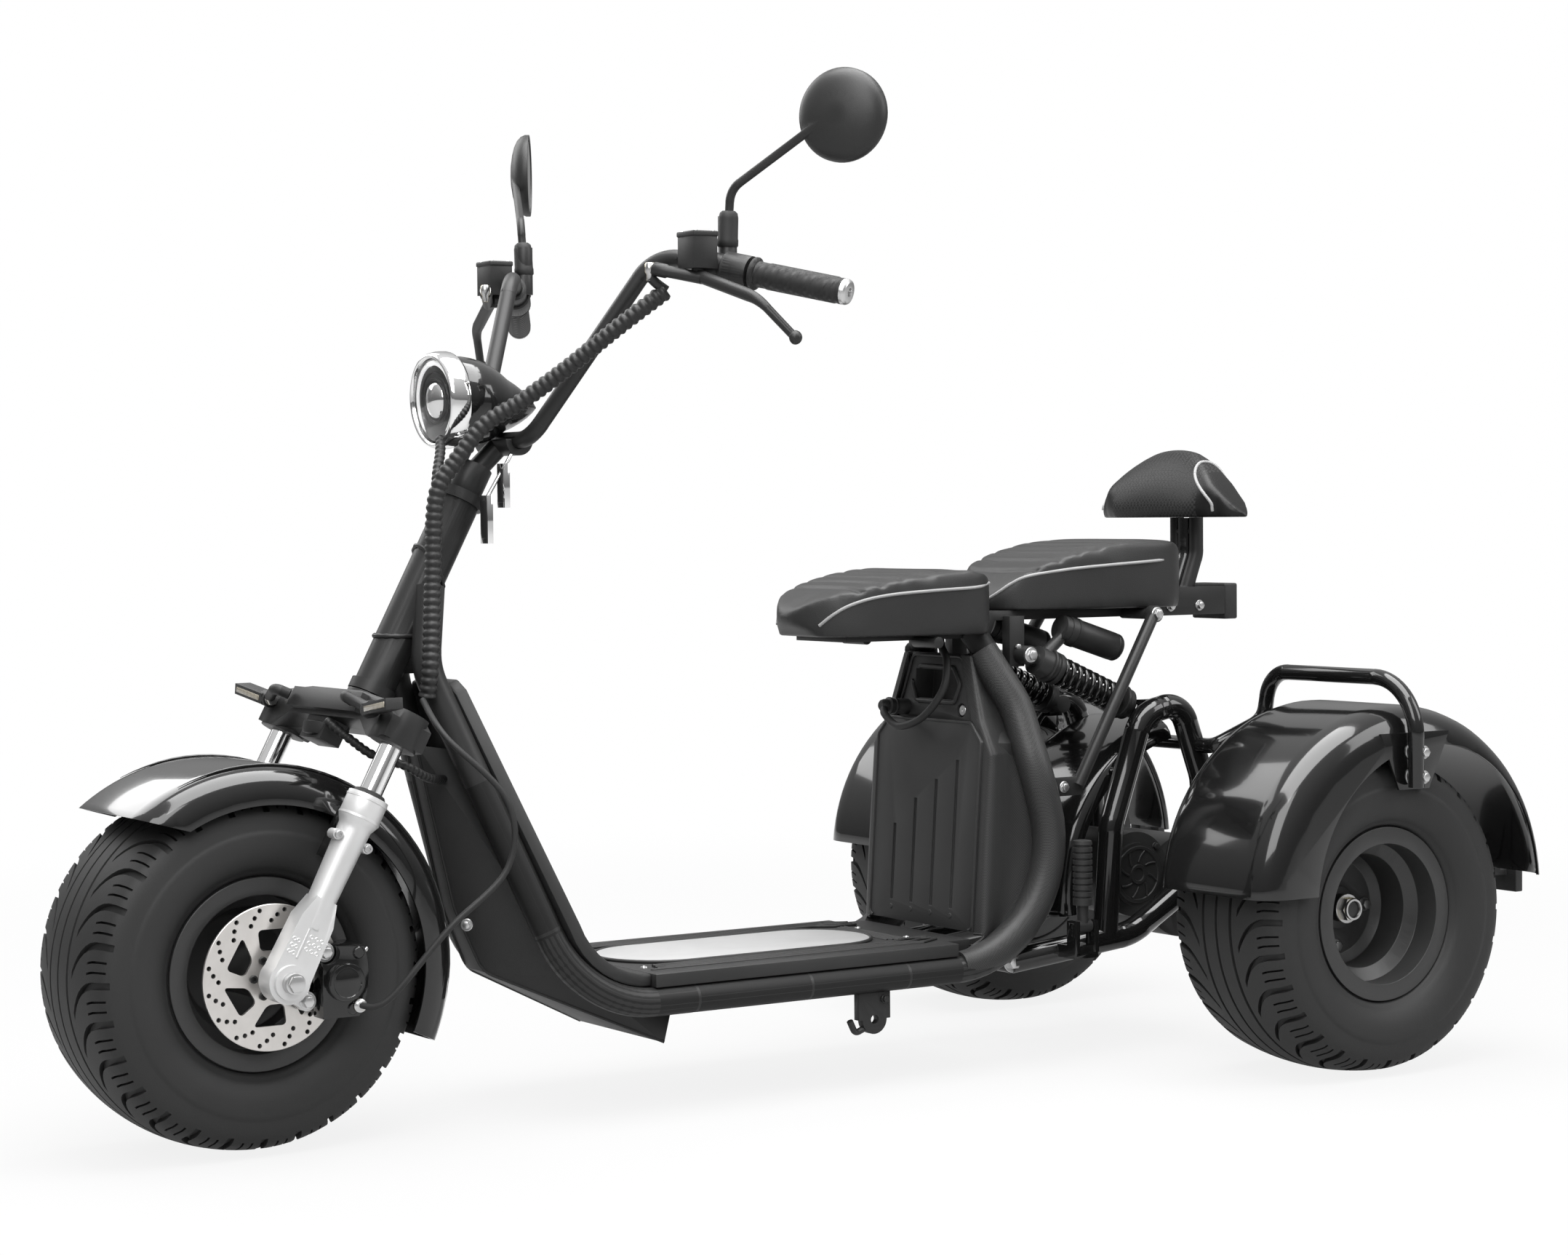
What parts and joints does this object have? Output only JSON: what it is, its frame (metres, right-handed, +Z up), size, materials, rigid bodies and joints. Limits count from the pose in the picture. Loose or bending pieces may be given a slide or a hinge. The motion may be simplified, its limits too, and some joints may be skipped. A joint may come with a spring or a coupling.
{
  "type": "electric three-wheel scooter",
  "caption": "Fat-tyred electric three-wheel scooter with a flat step-through deck, saddles in line with a backrest, telescopic fork and wide rear mudguards.",
  "frame": {"origin": "On the ground under the middle of the outer box", "axes": "+X forward, +Y to the rider's left, +Z up"},
  "size_m": [2.052, 1.1024, 1.337],
  "materials": {
    "gloss_black": "gloss black paint",
    "satin_black": "satin black powder coat",
    "black_plastic": "matt black moulding",
    "deck_silver": "matt pale metal plate",
    "black_vinyl": "black vinyl",
    "red_lens": "red lens",
    "black_rubber": "black rubber",
    "bright_chrome": "chrome",
    "cast_alloy": "bead-blasted casting",
    "zinc_steel": "zinc plated",
    "disc_steel": "brushed",
    "clear_lens": "clear lens",
    "mirror_face": "silvered",
    "tyre_rubber": "black tyre rubber"
  },
  "bodies": {
    "frame": {"main_frame": "satin_black", "deck_moulding": "black_plastic", "deck_plate": "deck_silver", "leg_shield": "black_plastic", "belly_pan": "black_plastic", "battery_pack": "black_plastic", "battery_surround": "black_plastic", "battery_lead": "black_rubber", "front_seat": "black_vinyl", "rear_seat": "black_vinyl", "seat_frame": "satin_black", "backrest_pad": "black_vinyl", "backrest_post": "satin_black", "tail_lamp": "red_lens", "seat_struts": "satin_black", "shock_absorbers": "satin_black", "shock_springs": "gloss_black", "swing_frame": "gloss_black", "rear_mudguard": "gloss_black", "drive_axle": "satin_black", "rear_fenders": "gloss_black", "grab_rails": "gloss_black", "rear_reflectors": "red_lens", "stand_bracket": "satin_black"},
    "steering": {"steering_stem": "satin_black", "fork_yoke": "satin_black", "fork_stanchions": "bright_chrome", "fork_sliders": "cast_alloy", "front_axle": "zinc_steel", "front_fender": "gloss_black", "brake_caliper": "gloss_black", "headlamp_shell": "gloss_black", "headlamp_bezel": "bright_chrome", "headlamp_glass": "clear_lens", "handlebar": "satin_black", "grips": "black_rubber", "hand_controls": "satin_black", "mirrors": "gloss_black", "mirror_glasses": "mirror_face", "front_indicators": "black_plastic", "wiring_loom": "black_rubber", "brake_hose": "black_rubber", "key_fobs": "bright_chrome"},
    "front_wheel": {"front_tyre": "tyre_rubber", "front_rim": "gloss_black", "brake_disc": "disc_steel"},
    "rear_left_wheel": {"rear_left_tyre": "tyre_rubber", "rear_left_rim": "gloss_black"},
    "rear_right_wheel": {"rear_right_tyre": "tyre_rubber", "rear_right_rim": "gloss_black"},
    "peg_left_arm": {"peg_left": "black_rubber"},
    "peg_right_arm": {"peg_right": "black_rubber"}
  },
  "joints": [
    {"name": "steer", "type": "hinge", "parent": "frame", "child": "steering", "pos_m": [0.5354, 0, 0.68404], "axis": [-0.4695, 0, 0.8829], "range_deg": [-35, 35], "deforming": ["wiring_loom", "brake_hose"]},
    {"name": "front_wheel_spin", "type": "hinge", "parent": "steering", "child": "front_wheel", "pos_m": [0.801, 0, 0.225], "axis": [0, 1, 0], "continuous": true},
    {"name": "rear_left_wheel_spin", "type": "hinge", "parent": "frame", "child": "rear_left_wheel", "pos_m": [-0.692, 0.4, 0.225], "axis": [0, 1, 0], "continuous": true},
    {"name": "rear_right_wheel_spin", "type": "hinge", "parent": "frame", "child": "rear_right_wheel", "pos_m": [-0.692, -0.4, 0.225], "axis": [0, 1, 0], "continuous": true},
    {"name": "peg_left_fold", "type": "hinge", "parent": "frame", "child": "peg_left_arm", "pos_m": [-0.417, 0.174, 0.197], "axis": [-1, 0, 0], "range_deg": [0, 90]},
    {"name": "peg_right_fold", "type": "hinge", "parent": "frame", "child": "peg_right_arm", "pos_m": [-0.417, -0.174, 0.197], "axis": [1, 0, 0], "range_deg": [0, 90]}
  ]
}
